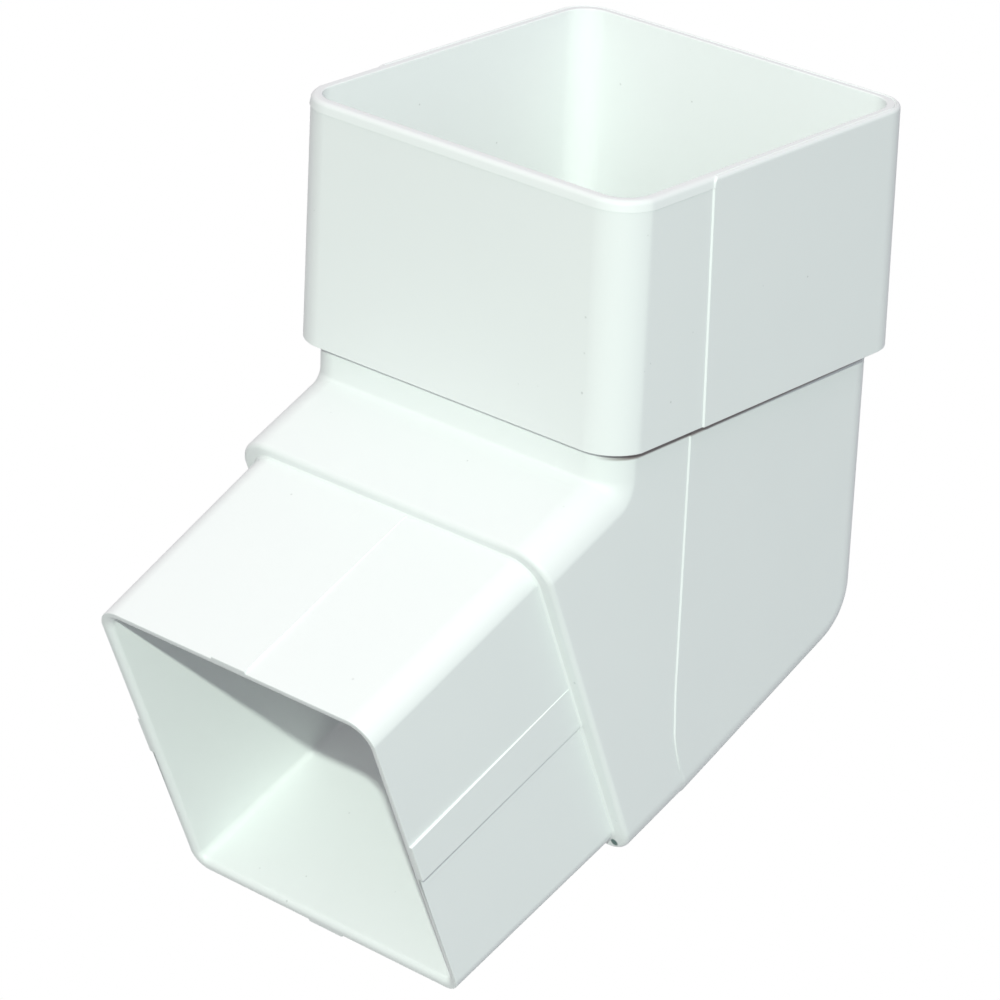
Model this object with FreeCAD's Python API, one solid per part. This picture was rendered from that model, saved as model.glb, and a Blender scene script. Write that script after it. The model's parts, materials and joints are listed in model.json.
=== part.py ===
"""Square downspout elbow: one injection-moulded plastic piece, socket above, mitred bend, tapered spigot below.

Millimetres. The origin is the centre of the ledge in the socket where the upper pipe stops. +Z runs up the
socket's axis, the spigot leaves towards -Y and down, and the part is symmetric about the plane X = 0.
"""
import math
import os

import FreeCAD
import Part

# Downpipe that the elbow joins
PIPE_WIDTH = 65.0
PIPE_WALL = 1.6

# Socket, which takes the end of the upper pipe
SOCKET_CLEARANCE = 0.4
SOCKET_WALL = 2.1
SOCKET_DEPTH = 38.8
SOCKET_FLOOR = 2.2
SOCKET_CORNER = 6.4
SOCKET_BORE_CORNER = 6.0
SOCKET_DRAFT = 0.45
RIM_OUTER_ROUND = 0.9
RIM_INNER_ROUND = 0.6

# Mitred body between socket and spigot
BODY_OVER_PIPE = 0.5
BODY_WALL = 2.2
BODY_CORNER = 6.3
BEND_TURN = 67.5
THROAT_DROP = 6.0
THROAT_RADIUS = 1.3
HEEL_RADIUS = 12.0
SHOULDER_REACH = 17.1
SHOULDER_ROUND = 0.5

# Spigot, which enters the lower pipe up to the shoulder
SPIGOT_LENGTH = 38.0
SPIGOT_SIDE_CLEARANCE = 0.7
SPIGOT_FACE_CLEARANCE = 0.3
SPIGOT_SIDE_DRAFT = 1.2
SPIGOT_FACE_DRAFT = 1.75
SPIGOT_CORNER = 4.4
SPIGOT_WALL = 1.5
SPIGOT_END_ROUND = 0.4

# Raised strip along the middle of each spigot face, which steadies the spigot in the pipe
BAND_ROOT_WIDTH = 8.3
BAND_TIP_WIDTH = 7.2
BAND_ROOT_PROUD = 0.3
BAND_TIP_PROUD = 0.65

# Sizes that follow from the driving dimensions
SOCKET_BORE = PIPE_WIDTH + 2 * SOCKET_CLEARANCE
RIM_WIDTH = SOCKET_BORE + 2 * SOCKET_WALL
SOCKET_HEIGHT = SOCKET_FLOOR + SOCKET_DEPTH
FOOT_WIDTH = RIM_WIDTH + 2 * SOCKET_HEIGHT * math.tan(math.radians(SOCKET_DRAFT))
BODY_WIDTH = PIPE_WIDTH + 2 * BODY_OVER_PIPE
PIPE_BORE = PIPE_WIDTH - 2 * PIPE_WALL
ROOT_WIDTH = PIPE_BORE - 2 * SPIGOT_SIDE_CLEARANCE
ROOT_DEPTH = PIPE_BORE - 2 * SPIGOT_FACE_CLEARANCE
TIP_WIDTH = ROOT_WIDTH - 2 * SPIGOT_LENGTH * math.tan(math.radians(SPIGOT_SIDE_DRAFT))
TIP_DEPTH = ROOT_DEPTH - 2 * SPIGOT_LENGTH * math.tan(math.radians(SPIGOT_FACE_DRAFT))

# Directions of the lower leg: down the spigot, and square to its upper face
TURN = math.radians(BEND_TURN)
DOWN_SPIGOT = FreeCAD.Vector(0, -math.sin(TURN), -math.cos(TURN))
UP_FACE = FreeCAD.Vector(0, -math.cos(TURN), math.sin(TURN))

# The sharp throat, and the middle of the shoulder where the spigot starts
THROAT = FreeCAD.Vector(0, -BODY_WIDTH / 2, -SOCKET_FLOOR - THROAT_DROP)
SHOULDER_CENTRE = THROAT + DOWN_SPIGOT * SHOULDER_REACH - UP_FACE * (BODY_WIDTH / 2)
SPIGOT_TURN = FreeCAD.Rotation(FreeCAD.Vector(1, 0, 0), 180 - BEND_TURN)
SPIGOT_PLACE = FreeCAD.Placement(SHOULDER_CENTRE, SPIGOT_TURN)

LENGTH_TOLERANCE = 1e-4


def rounded_rectangle(width, depth, corner, height):
    """Closed wire of a rectangle with round corners, centred on the Z axis, at the given height."""
    x = width / 2
    y = depth / 2
    diagonal = corner * (1 - math.sqrt(0.5))
    edges = []
    for sx, sy, first_along_x in ((1, 1, False), (-1, 1, True), (-1, -1, False), (1, -1, True)):
        on_side = FreeCAD.Vector(sx * x, sy * (y - corner), height)
        on_face = FreeCAD.Vector(sx * (x - corner), sy * y, height)
        middle = FreeCAD.Vector(sx * (x - diagonal), sy * (y - diagonal), height)
        start, end = (on_face, on_side) if first_along_x else (on_side, on_face)
        edges.append((start, middle, end))
    curves = []
    for (start, middle, end), (following, _, _) in zip(edges, edges[1:] + edges[:1]):
        curves.append(Part.Arc(start, middle, end).toShape())
        curves.append(Part.LineSegment(end, following).toShape())
    return Part.Wire(curves)


def tapered_block(bottom, top):
    """Solid between two rounded rectangles, each given as width, depth, corner radius and height."""
    return Part.makeLoft([rounded_rectangle(*bottom), rounded_rectangle(*top)], True, True)


def edges_where(shape, test):
    """Edges of a shape whose every sampled point passes the test."""
    chosen = []
    for edge in shape.Edges:
        samples = edge.discretize(5)
        if all(test(point) for point in samples):
            chosen.append(edge)
    return chosen


def edges_at_height(shape, height):
    """Edges of a shape that lie in the plane Z = height."""
    return edges_where(shape, lambda point: abs(point.z - height) < LENGTH_TOLERANCE)


def bend_solid(inset, top):
    """Mitred square tube with a round heel and throat, its walls moved in by the inset.

    The lower leg ends square to the spigot: at the shoulder where the inset is nil, and otherwise the same
    distance short of the shoulder's face.
    """
    half = BODY_WIDTH / 2 - inset
    reach = SHOULDER_REACH - inset
    lower_top = THROAT - UP_FACE * inset
    throat_z = lower_top.z - (half + lower_top.y) / math.tan(TURN)
    throat = FreeCAD.Vector(0, -half, throat_z)
    heel = throat + FreeCAD.Vector(0, 2 * half, -2 * half * math.tan(TURN / 2))
    shoulder_top = lower_top + DOWN_SPIGOT * reach
    shoulder_bottom = shoulder_top - UP_FACE * (2 * half)
    outline = [
        FreeCAD.Vector(0, half, top),
        FreeCAD.Vector(0, -half, top),
        throat,
        shoulder_top,
        shoulder_bottom,
        heel,
    ]
    across = FreeCAD.Vector(half, 0, 0)
    side = Part.Face(Part.makePolygon([point - across for point in outline + outline[:1]]))
    solid = side.extrude(across * 2)

    for corner, radius in ((heel, HEEL_RADIUS - inset), (throat, THROAT_RADIUS + inset)):
        def on_ridge(point):
            return math.hypot(point.y - corner.y, point.z - corner.z) < LENGTH_TOLERANCE

        solid = solid.makeFillet(radius, edges_where(solid, on_ridge))

    def on_side(point):
        return abs(abs(point.x) - half) < LENGTH_TOLERANCE

    def at_top(point):
        return abs(point.z - top) < LENGTH_TOLERANCE

    def at_shoulder(point):
        return abs((point - shoulder_top).dot(DOWN_SPIGOT)) < LENGTH_TOLERANCE

    long_edges = [edge for edge in edges_where(solid, on_side)
                  if not edges_where(edge, at_top) and not edges_where(edge, at_shoulder)]
    return solid.makeFillet(BODY_CORNER - inset, long_edges)


def outer_body():
    """Outside of the mitred body, with the shoulder's rim rounded over."""
    solid = bend_solid(0.0, -SOCKET_FLOOR / 2)
    rim = edges_where(solid, lambda point: abs((point - SHOULDER_CENTRE).dot(DOWN_SPIGOT)) < LENGTH_TOLERANCE)
    return solid.makeFillet(SHOULDER_ROUND, rim)


def outer_socket():
    """Outside of the socket, a little wider at its foot than at its rim, with the rim rounded over."""
    solid = tapered_block((FOOT_WIDTH, FOOT_WIDTH, SOCKET_CORNER, -SOCKET_FLOOR),
                          (RIM_WIDTH, RIM_WIDTH, SOCKET_CORNER, SOCKET_DEPTH))
    return solid.makeFillet(RIM_OUTER_ROUND, edges_at_height(solid, SOCKET_DEPTH))


def outer_spigot():
    """Outside of the spigot with its bands, in its own frame: Z down the spigot from the shoulder."""
    overlap = BODY_WALL / 2
    growth = overlap / SPIGOT_LENGTH
    hidden_width = ROOT_WIDTH + (ROOT_WIDTH - TIP_WIDTH) * growth
    hidden_depth = ROOT_DEPTH + (ROOT_DEPTH - TIP_DEPTH) * growth
    solid = tapered_block((hidden_width, hidden_depth, SPIGOT_CORNER, -overlap),
                          (TIP_WIDTH, TIP_DEPTH, SPIGOT_CORNER, SPIGOT_LENGTH))
    solid = solid.makeFillet(SPIGOT_END_ROUND, edges_at_height(solid, SPIGOT_LENGTH))
    reaches = ((ROOT_WIDTH, TIP_WIDTH, 0), (ROOT_DEPTH, TIP_DEPTH, 90), (ROOT_WIDTH, TIP_WIDTH, 180),
               (ROOT_DEPTH, TIP_DEPTH, 270))
    for root, tip, turn in reaches:
        solid = solid.fuse(spigot_band(root / 2, tip / 2, turn))
    return solid.removeSplitter()


def spigot_band(root_reach, tip_reach, turn):
    """One raised strip on the spigot face that looks along the given turn about the spigot's axis."""
    band_end = SPIGOT_LENGTH - SPIGOT_END_ROUND
    sections = []
    for reach, proud, width, height in ((root_reach, BAND_ROOT_PROUD, BAND_ROOT_WIDTH, 0.0),
                                        (tip_reach, BAND_TIP_PROUD, BAND_TIP_WIDTH, SPIGOT_LENGTH)):
        inner = reach - SPIGOT_WALL / 2
        corners = [(inner, -width / 2), (reach + proud, -width / 2), (reach + proud, width / 2), (inner, width / 2)]
        points = [FreeCAD.Vector(x, y, height) for x, y in corners]
        sections.append(Part.makePolygon(points + points[:1]))
    strip = Part.makeLoft(sections, True, True)
    keep = Part.makeBox(2 * PIPE_WIDTH, 2 * PIPE_WIDTH, band_end,
                        FreeCAD.Vector(-PIPE_WIDTH, -PIPE_WIDTH, 0))
    strip = strip.common(keep)
    strip.rotate(FreeCAD.Vector(0, 0, 0), FreeCAD.Vector(0, 0, 1), turn)
    return strip


def socket_pocket():
    """Room for the pipe's end, from the stop ledge to above the rim."""
    above_rim = SOCKET_DEPTH + SOCKET_WALL
    return tapered_block((SOCKET_BORE, SOCKET_BORE, SOCKET_BORE_CORNER, 0.0),
                         (SOCKET_BORE, SOCKET_BORE, SOCKET_BORE_CORNER, above_rim))


def spigot_bore():
    """Waterway through the spigot, in the spigot's frame, from inside the body to past the mouth."""
    corner = SPIGOT_CORNER - SPIGOT_WALL
    past = SPIGOT_LENGTH + SPIGOT_WALL
    inside = -2 * BODY_WALL
    width = TIP_WIDTH - 2 * SPIGOT_WALL
    depth = TIP_DEPTH - 2 * SPIGOT_WALL
    return tapered_block((width, depth, corner, inside), (width, depth, corner, past))


def elbow():
    """The whole moulding: outer forms joined, then the waterway taken out."""
    spigot = outer_spigot()
    spigot.Placement = SPIGOT_PLACE
    bore = spigot_bore()
    bore.Placement = SPIGOT_PLACE
    outside = outer_body().fuse([outer_socket(), spigot]).removeSplitter()
    waterway = bend_solid(BODY_WALL, SOCKET_WALL).fuse([socket_pocket(), bore])
    moulding = outside.cut(waterway)
    rim = edges_where(moulding, inner_rim_point)
    return moulding.makeFillet(RIM_INNER_ROUND, rim)


def inner_rim_point(point):
    """Whether a point lies on the inner edge of the socket's rim."""
    inside = max(abs(point.x), abs(point.y)) < SOCKET_BORE / 2 + LENGTH_TOLERANCE
    return inside and abs(point.z - SOCKET_DEPTH) < LENGTH_TOLERANCE


def main():
    os.makedirs("parts", exist_ok=True)
    shape = elbow()
    shape = shape.Solids[0] if len(shape.Solids) == 1 else shape
    shape.exportStep("parts/downspout_elbow.step")
    box = shape.BoundBox
    print("valid", shape.isValid(), "solids", len(shape.Solids), "volume", round(shape.Volume, 1))
    print("box", [round(v, 2) for v in (box.XMin, box.YMin, box.ZMin, box.XMax, box.YMax, box.ZMax)])


main()
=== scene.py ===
"""Looks of a white square downspout elbow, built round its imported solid.

Sizes are in millimetres and in the part's own frame: the origin is the middle of the ledge where the
upper pipe stops, +Z runs up the socket, and the spigot leaves towards -Y and down. Meshes are written
in metres.
"""

import json
import logging
import math
from dataclasses import dataclass, replace
from enum import Enum

import bpy
from mathutils import Matrix, Vector


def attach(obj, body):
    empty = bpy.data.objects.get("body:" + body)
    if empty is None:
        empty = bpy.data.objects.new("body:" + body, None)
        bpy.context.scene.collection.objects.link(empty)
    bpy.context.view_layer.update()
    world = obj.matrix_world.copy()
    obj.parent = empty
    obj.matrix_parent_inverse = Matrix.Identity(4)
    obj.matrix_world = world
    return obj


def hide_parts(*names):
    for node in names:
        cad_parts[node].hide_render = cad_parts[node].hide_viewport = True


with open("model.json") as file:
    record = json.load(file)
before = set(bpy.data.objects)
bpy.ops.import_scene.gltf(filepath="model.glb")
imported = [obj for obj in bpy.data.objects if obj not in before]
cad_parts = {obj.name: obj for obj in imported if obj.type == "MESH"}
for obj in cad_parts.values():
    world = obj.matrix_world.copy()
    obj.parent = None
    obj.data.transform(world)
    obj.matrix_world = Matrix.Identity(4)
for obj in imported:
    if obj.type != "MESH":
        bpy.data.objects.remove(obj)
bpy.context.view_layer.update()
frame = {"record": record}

LOG = logging.getLogger("downspout_elbow")
MM = 0.001
CAD_NODE = "downspout_elbow"

FACE_POINTS = 3
CORNER_STEPS = 12
CORNER_CRISP = math.radians(12.0)
ROUND_STEPS = 6
RIM_STEPS = 8
WALL_STEPS = 5
SOCKET_BORE_STEPS = 4
UPRIGHT_STEPS = 8
BEND_STEPS = 16
LEG_STEPS = 10
SHOULDER_STEPS = 6
SPIGOT_STEPS = 6
SPIGOT_BORE_STEPS = 5
FLOOR_SIDES = 96
BISECTIONS = 40
LEAST_SHARE = 1e-6
EVEN_KNOTS = (0.2, 0.4, 0.6, 0.8)
FIRST_KNOT_LIMITS = (0.02, 0.97)
SECOND_KNOT_LIMITS = (0.03, 0.98)
IDLE_BAND_HALF = 4.15


class Skin(Enum):
    """The two skins of the moulding's wall."""

    OUTSIDE = "outside"
    INSIDE = "inside"


def across(turn: float) -> Vector:
    """Direction square to the tube's front face and into the tube, after a turn of the bend in radians."""
    return Vector((0.0, math.cos(turn), -math.sin(turn)))


def between(start: float, end: float, share: float) -> float:
    """Value at a share of the way from start to end."""
    return start + (end - start) * share


def clamp(value: float, low: float, high: float) -> float:
    """Value kept between two limits."""
    return min(max(value, low), high)


def shares(count: int) -> list[float]:
    """Evenly spaced shares from 0 to 1, both ends included, in the given number of steps."""
    return [step / count for step in range(count + 1)]


@dataclass(frozen=True)
class Band:
    """A raised strip where one section of the spigot cuts it.

    Attributes:
        half_width: Half of the strip's width.
        proud: How far the strip stands out of its face.
        bevel: Half of the width of the slope at the strip's edge.
        dip: Depth of the fine groove along the lower edge of a side strip.
    """

    half_width: float = IDLE_BAND_HALF
    proud: float = 0.0
    bevel: float = 0.05
    dip: float = 0.0


@dataclass(frozen=True)
class Section:
    """One cut across the tube, symmetric about the plane X = 0.

    Attributes:
        front: Middle of the front face.
        back: Middle of the back face.
        inward: Unit direction from the front face into the tube, square to both faces.
        half: Half width where the side leaves the front corner.
        back_half: Half width where the side meets the back corner.
        corner: Radius of the two front corners.
        back_corner: Radius of the two back corners.
        crisp: Angle in radians that the front corners leave where they meet the sides.
        knots: Shares of the side, from front to back, where the outline has its four points.
        band: The raised strips, flat where the tube has none.
        side_proud: How far the side stands out between its second and third knot.
    """

    front: Vector
    back: Vector
    inward: Vector
    half: float
    back_half: float
    corner: float
    back_corner: float
    crisp: float = 0.0
    knots: tuple[float, ...] = EVEN_KNOTS
    band: Band = Band()
    side_proud: float = 0.0

    def inset(self, depth: float, shift: Vector = Vector()) -> "Section":
        """The same cut with its outline moved into the tube.

        Args:
            depth: How far every face moves in; negative moves it out.
            shift: How far the whole cut moves.

        Returns:
            The moved section.
        """
        return replace(
            self,
            front=self.front + self.inward * depth + shift,
            back=self.back - self.inward * depth + shift,
            half=self.half - depth,
            back_half=self.back_half - depth,
            corner=self.corner - depth,
            back_corner=self.back_corner - depth,
        )

    def side_ends(self) -> tuple[Vector, Vector]:
        """Ends of the side's flat, behind the front corner and before the back one, in the plane X = 0."""
        front_depth = self.corner * (1 - math.sin(self.crisp))
        return self.front + self.inward * front_depth, self.back - self.inward * self.back_corner

    def half_outline(self) -> list[Vector]:
        """Points of the +X half, from the middle of the front face round to the middle of the back face."""
        front = self._face_points(self.front, self.inward)
        front += self._corner_points(self.front, self.inward, self.half, self.corner, self.crisp)
        back = self._face_points(self.back, -self.inward)
        back += self._corner_points(self.back, -self.inward, self.back_half, self.back_corner, 0.0)
        return front + self._side_points() + back[::-1]

    def _face_points(self, middle: Vector, inward: Vector) -> list[Vector]:
        """Points on one flat face, from its middle past the edge of its band.

        Args:
            middle: Middle of the face.
            inward: Unit direction from the face into the tube.

        Returns:
            The points in order.
        """
        band = self.band
        raised = middle - inward * band.proud
        return [
            raised.copy(),
            raised + Vector((band.half_width - band.bevel, 0.0, 0.0)),
            middle + Vector((band.half_width + band.bevel, 0.0, 0.0)),
        ]

    @staticmethod
    def _corner_points(
        middle: Vector, inward: Vector, half: float, radius: float, crisp: float
    ) -> list[Vector]:
        """Points round one corner, from its face to the side.

        Args:
            middle: Middle of the corner's face.
            inward: Unit direction from that face into the tube.
            half: Half width at the side.
            radius: Radius of the corner.
            crisp: Angle in radians that is left where the corner meets the side.

        Returns:
            The points in order.
        """
        sweep = math.pi / 2 - crisp
        points = []
        for share in shares(CORNER_STEPS):
            angle = share * sweep
            x = half - radius * (math.sin(sweep) - math.sin(angle))
            points.append(middle + inward * (radius * (1 - math.cos(angle))) + Vector((x, 0.0, 0.0)))
        return points

    def _side_points(self) -> list[Vector]:
        """The four points on the side between its corners."""
        start, end = self.side_ends()
        points = []
        for index, share in enumerate(self.knots):
            past = max(0.0, share - self.knots[1]) / max(LEAST_SHARE, 1.0 - self.knots[1])
            x = between(self.half, self.back_half, past)
            if index in (1, 2):
                x += self.side_proud
            if index == 3:
                x -= self.band.dip
            points.append(start.lerp(end, share) + Vector((x, 0.0, 0.0)))
        return points


# Points of the front face, the front corner and the first knot, which the front mould half makes.
FRONT_HALF_POINTS = FACE_POINTS + CORNER_STEPS + 1 + 1


@dataclass(frozen=True)
class Cut:
    """One ring of the skin: the front mould half makes one part of it and the rear mould half the other.

    Attributes:
        front: Section that the front mould half gives.
        rear: Section that the rear mould half gives.
    """

    front: Section
    rear: Section

    @staticmethod
    def whole(section: Section) -> "Cut":
        """A ring on which the two mould halves agree."""
        return Cut(section, section)

    def ring(self) -> list[Vector]:
        """Points of the closed ring, both sides of X = 0."""
        half = self.front.half_outline()[:FRONT_HALF_POINTS] + self.rear.half_outline()[FRONT_HALF_POINTS:]
        mirrored = [Vector((-point.x, point.y, point.z)) for point in half[-2:0:-1]]
        return half + mirrored


@dataclass(frozen=True)
class PartingLine:
    """Where the two mould halves meet on the sides: upright, and square to the spigot near the underside.

    Attributes:
        body_y: Place of the line on the body.
        rim_y: Place of the line at the socket's rim.
        foot_y: Place of the line at the socket's foot.
        bend_z: Height at which the line starts to turn.
        bend_radius: Radius of that turn.
        rim_curl: How far the line curls back at the very rim.
        curl_height: Height over which it does.
        step_width: Width of the slope from one half to the other.
        body_step: How far the rear half stands out on the body.
        socket_step: How far the rear half stands out on the socket.
    """

    body_y: float = -15.35
    rim_y: float = -15.4
    foot_y: float = -14.95
    bend_z: float = -51.5
    bend_radius: float = 30.0
    rim_curl: float = 0.9
    curl_height: float = 1.3
    step_width: float = 0.24
    body_step: float = 0.22
    socket_step: float = 0.26

    def socket_place(self, share: float, below_rim: float) -> float:
        """Place of the line along Y on the socket.

        Args:
            share: Share of the way from the rim down to the foot.
            below_rim: Distance below the rim.

        Returns:
            The Y of the line there.
        """
        curl = max(0.0, 1 - below_rim / self.curl_height)
        return between(self.rim_y, self.foot_y, share) + self.rim_curl * curl**2

    def body_place(self, z: float, lean: float) -> float:
        """Place of the line along Y on the body.

        Args:
            z: Height on the body.
            lean: Angle from upright, in radians, that the line takes at its lower end.

        Returns:
            The Y of the line at that height.
        """
        drop = max(0.0, self.bend_z - z)
        turned = min(drop, self.bend_radius * math.sin(lean))
        bulge = self.bend_radius - math.sqrt(self.bend_radius**2 - turned**2)
        return self.body_y + bulge + (drop - turned) * math.tan(lean)

    def knots(self, section: Section, place: float) -> tuple[float, ...]:
        """Knots of a section's side that carry the line.

        Args:
            section: The cut whose side the line crosses.
            place: Share of the side at which it does.

        Returns:
            Four shares, of which the first two bound the slope.
        """
        start, end = section.side_ends()
        reach = 0.5 * self.step_width / max(1.0, abs(end.y - start.y))
        first = clamp(place - reach, *FIRST_KNOT_LIMITS)
        second = clamp(place + reach, *SECOND_KNOT_LIMITS)
        return first, second, between(second, 1.0, 1 / 3), between(second, 1.0, 2 / 3)

    def crossing(self, section: Section, lean: float) -> float:
        """Share of a body section's side at which the line crosses it.

        Args:
            section: The cut whose side the line crosses.
            lean: Angle from upright, in radians, that the line takes at its lower end.

        Returns:
            The share, or 1 where the line has ended.
        """
        start, end = section.side_ends()

        def ahead(share: float) -> float:
            """How far the side is past the line, at a share of the side."""
            point = start.lerp(end, share)
            return point.y - self.body_place(point.z, lean)

        if ahead(1.0) <= 0.0:
            return 1.0
        low, high = 0.0, 1.0
        for _ in range(BISECTIONS):
            middle = (low + high) / 2
            low, high = (middle, high) if ahead(middle) < 0.0 else (low, middle)
        return high


@dataclass(frozen=True)
class Socket:
    """The square socket that takes the end of the upper pipe.

    Attributes:
        depth: Height of the rim above the ledge.
        floor: Thickness below the ledge, down to the socket's foot.
        bore_half: Half width of the inside.
        rim_half: Half width of the outside at the rim, below the lip.
        front_flare: How far the front face leans out by the foot.
        side_flare: How far the sides lean out by the foot.
        back_draft: How far each side draws in from the parting line to the back corner.
        front_corner: Radius of the outer corners at the front.
        rear_corner: Radius of the outer corners at the rear.
        bore_corner: Radius of the inner corners.
        inner_round: Rounding of the rim's inner edge.
        outer_round: Rounding of the rim's outer edge, rear half.
        groove_width: Width of the fine groove on the rim beside that rounding.
        groove_depth: Depth of that groove.
        groove_shares: Shares of its width where it starts, where its floor starts and where that ends.
        lip_spacing: Spacing of the front half's rings beside it, as a share of the groove's.
        lip_round: Rounding of the rim's outer edge, front half.
        lip_height: Height of the lip that the front mould half leaves below the rim.
        lip_proud: How far the lip stands out.
        lip_ledge: Height of the slope under the lip.
        foot_round: Rounding of the foot's edge.
        line: The parting line on the sides.
    """

    depth: float
    floor: float = 2.2
    bore_half: float = 32.9
    rim_half: float = 34.86
    front_flare: float = 0.48
    side_flare: float = 0.28
    back_draft: float = 0.31
    front_corner: float = 7.4
    rear_corner: float = 6.0
    bore_corner: float = 4.8
    inner_round: float = 0.2
    outer_round: float = 0.6
    groove_width: float = 0.4
    groove_depth: float = 0.25
    groove_shares: tuple[float, float, float] = (0.0, 0.3, 0.7)
    lip_spacing: float = 0.5
    lip_round: float = 0.9
    lip_height: float = 1.7
    lip_proud: float = 0.16
    lip_ledge: float = 0.06
    foot_round: float = 0.1
    line: PartingLine = PartingLine()

    def rim_cuts(self) -> list[Cut]:
        """Rings from the bore over the rim to just below the lip."""
        cuts = []
        for share in shares(ROUND_STEPS):
            angle = share * math.pi / 2
            out = self.inner_round * (1 - math.cos(angle))
            z = self.depth - self.inner_round * (1 - math.sin(angle))
            cuts.append(Cut.whole(self.bore(z).inset(-out)))
        cuts += self._groove_cuts()
        for share in shares(RIM_STEPS):
            angle = (1 - share) * math.pi / 2
            front = self._rounded(self.lip_round, angle, front_half=True)
            rear = self._rounded(self.outer_round, angle, front_half=False)
            cuts.append(Cut(front, rear))
        lip_foot = self.depth - self.lip_height
        cuts.append(Cut(self._front(lip_foot).inset(-self.lip_proud), self._rear(lip_foot)))
        below = lip_foot - self.lip_ledge
        cuts.append(Cut(self._front(below), self._rear(below)))
        return cuts

    def wall_cuts(self) -> list[Cut]:
        """Rings down the outside to the foot and in under it."""
        top = self.depth - self.lip_height - 2 * self.lip_ledge
        bottom = -self.floor + self.foot_round
        cuts = [self.outside(between(top, bottom, share)) for share in shares(WALL_STEPS)]
        for share in shares(ROUND_STEPS)[1:]:
            angle = share * math.pi / 2
            z = -self.floor + self.foot_round * (1 - math.sin(angle))
            level = self.outside(z)
            depth = self.foot_round * (1 - math.cos(angle))
            cuts.append(Cut(level.front.inset(depth), level.rear.inset(depth)))
        return cuts

    def bore_cuts(self) -> list[Cut]:
        """Rings up the inside, from the ledge to just below the rim."""
        top = self.depth - self.inner_round
        levels = [between(0.0, top, share) for share in shares(SOCKET_BORE_STEPS)[:-1]]
        return [Cut.whole(self.bore(z)) for z in levels]

    def bore(self, z: float) -> Section:
        """Section of the inside at a height."""
        half = self.bore_half
        return self._level(z, half, half, half, half, self.bore_corner)

    def outside(self, z: float) -> Cut:
        """Ring of the outside at a height."""
        return Cut(self._front(z), self._rear(z))

    def _groove_cuts(self) -> list[Cut]:
        """Rings of the fine groove on the rear half of the rim; the front half stays flat there."""
        cuts = []
        top = self.outside(self.depth)
        for share, sunk in zip(self.groove_shares, (0.0, self.groove_depth, self.groove_depth)):
            apart = self.groove_width * (1 - share)
            front = top.front.inset(self.lip_round + self.lip_spacing * apart)
            rear = top.rear.inset(self.outer_round + apart, Vector((0.0, 0.0, -sunk)))
            cuts.append(Cut(front, rear))
        return cuts

    def _rounded(self, radius: float, angle: float, front_half: bool) -> Section:
        """Section on the rounded outer edge of the rim.

        Args:
            radius: Radius of the edge.
            angle: Angle round the edge in radians, 0 at the wall and a right angle on top.
            front_half: Whether the front mould half makes the section.

        Returns:
            The section.
        """
        z = self.depth - radius * (1 - math.sin(angle))
        section = self._front(z) if front_half else self._rear(z)
        return section.inset(radius * (1 - math.cos(angle)))

    def _flare(self, z: float) -> float:
        """Share of the way from the rim down to the foot."""
        return (self.depth - z) / (self.depth + self.floor)

    def _front(self, z: float) -> Section:
        """Section that the front mould half gives at a height."""
        flare = self._flare(z)
        half = self.rim_half + self.side_flare * flare
        front = self.rim_half + self.front_flare * flare
        return self._level(z, front, self.rim_half, half, half, self.front_corner, CORNER_CRISP)

    def _rear(self, z: float) -> Section:
        """Section that the rear mould half gives at a height."""
        flare = self._flare(z)
        half = self.rim_half + self.side_flare * flare + self.line.socket_step
        back = self.rim_half + self.side_flare * flare
        return self._level(z, self.rim_half, back, half, half - self.back_draft, self.rear_corner)

    def _level(
        self,
        z: float,
        front: float,
        back: float,
        half: float,
        back_half: float,
        corner: float,
        crisp: float = 0.0,
    ) -> Section:
        """Level section with its side knots on the parting line.

        Args:
            z: Height of the section.
            front: Distance of the front face from the axis.
            back: Distance of the back face from the axis.
            half: Half width at the front corners.
            back_half: Half width at the back corners.
            corner: Radius of the corners.
            crisp: Angle in radians that the front corners leave where they meet the sides.

        Returns:
            The section.
        """
        section = Section(
            Vector((0.0, -front, z)),
            Vector((0.0, back, z)),
            across(0.0),
            half,
            back_half,
            corner,
            corner,
            crisp,
        )
        start, end = section.side_ends()
        place = self.line.socket_place(self._flare(z), self.depth - z)
        share = (place - start.y) / (end.y - start.y)
        return replace(section, knots=self.line.knots(section, share))


@dataclass(frozen=True)
class Leg:
    """Frame of the lower leg, at the middle of the shoulder's face.

    Attributes:
        middle: Middle of the shoulder's face.
        down: Unit direction down the spigot.
        up: Unit direction square to the leg's upper face.
    """

    middle: Vector
    down: Vector
    up: Vector

    @staticmethod
    def from_mount(mount: dict) -> "Leg":
        """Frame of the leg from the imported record's spigot mount."""
        down = Vector(mount["axis"]).normalized()
        return Leg(Vector(mount["pos_m"]) / MM, down, Vector((0.0, down.z, -down.y)))

    @property
    def turn(self) -> float:
        """Turn of the bend, in radians."""
        return math.atan2(-self.down.y, -self.down.z)

    def at(self, along: float, level: float) -> Vector:
        """Point a distance along the leg from the shoulder and a level above its axis."""
        return self.middle + self.down * along + self.up * level

    def along(self, point: Vector) -> float:
        """Distance of a point along the leg from the shoulder."""
        return (point - self.middle).dot(self.down)


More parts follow.
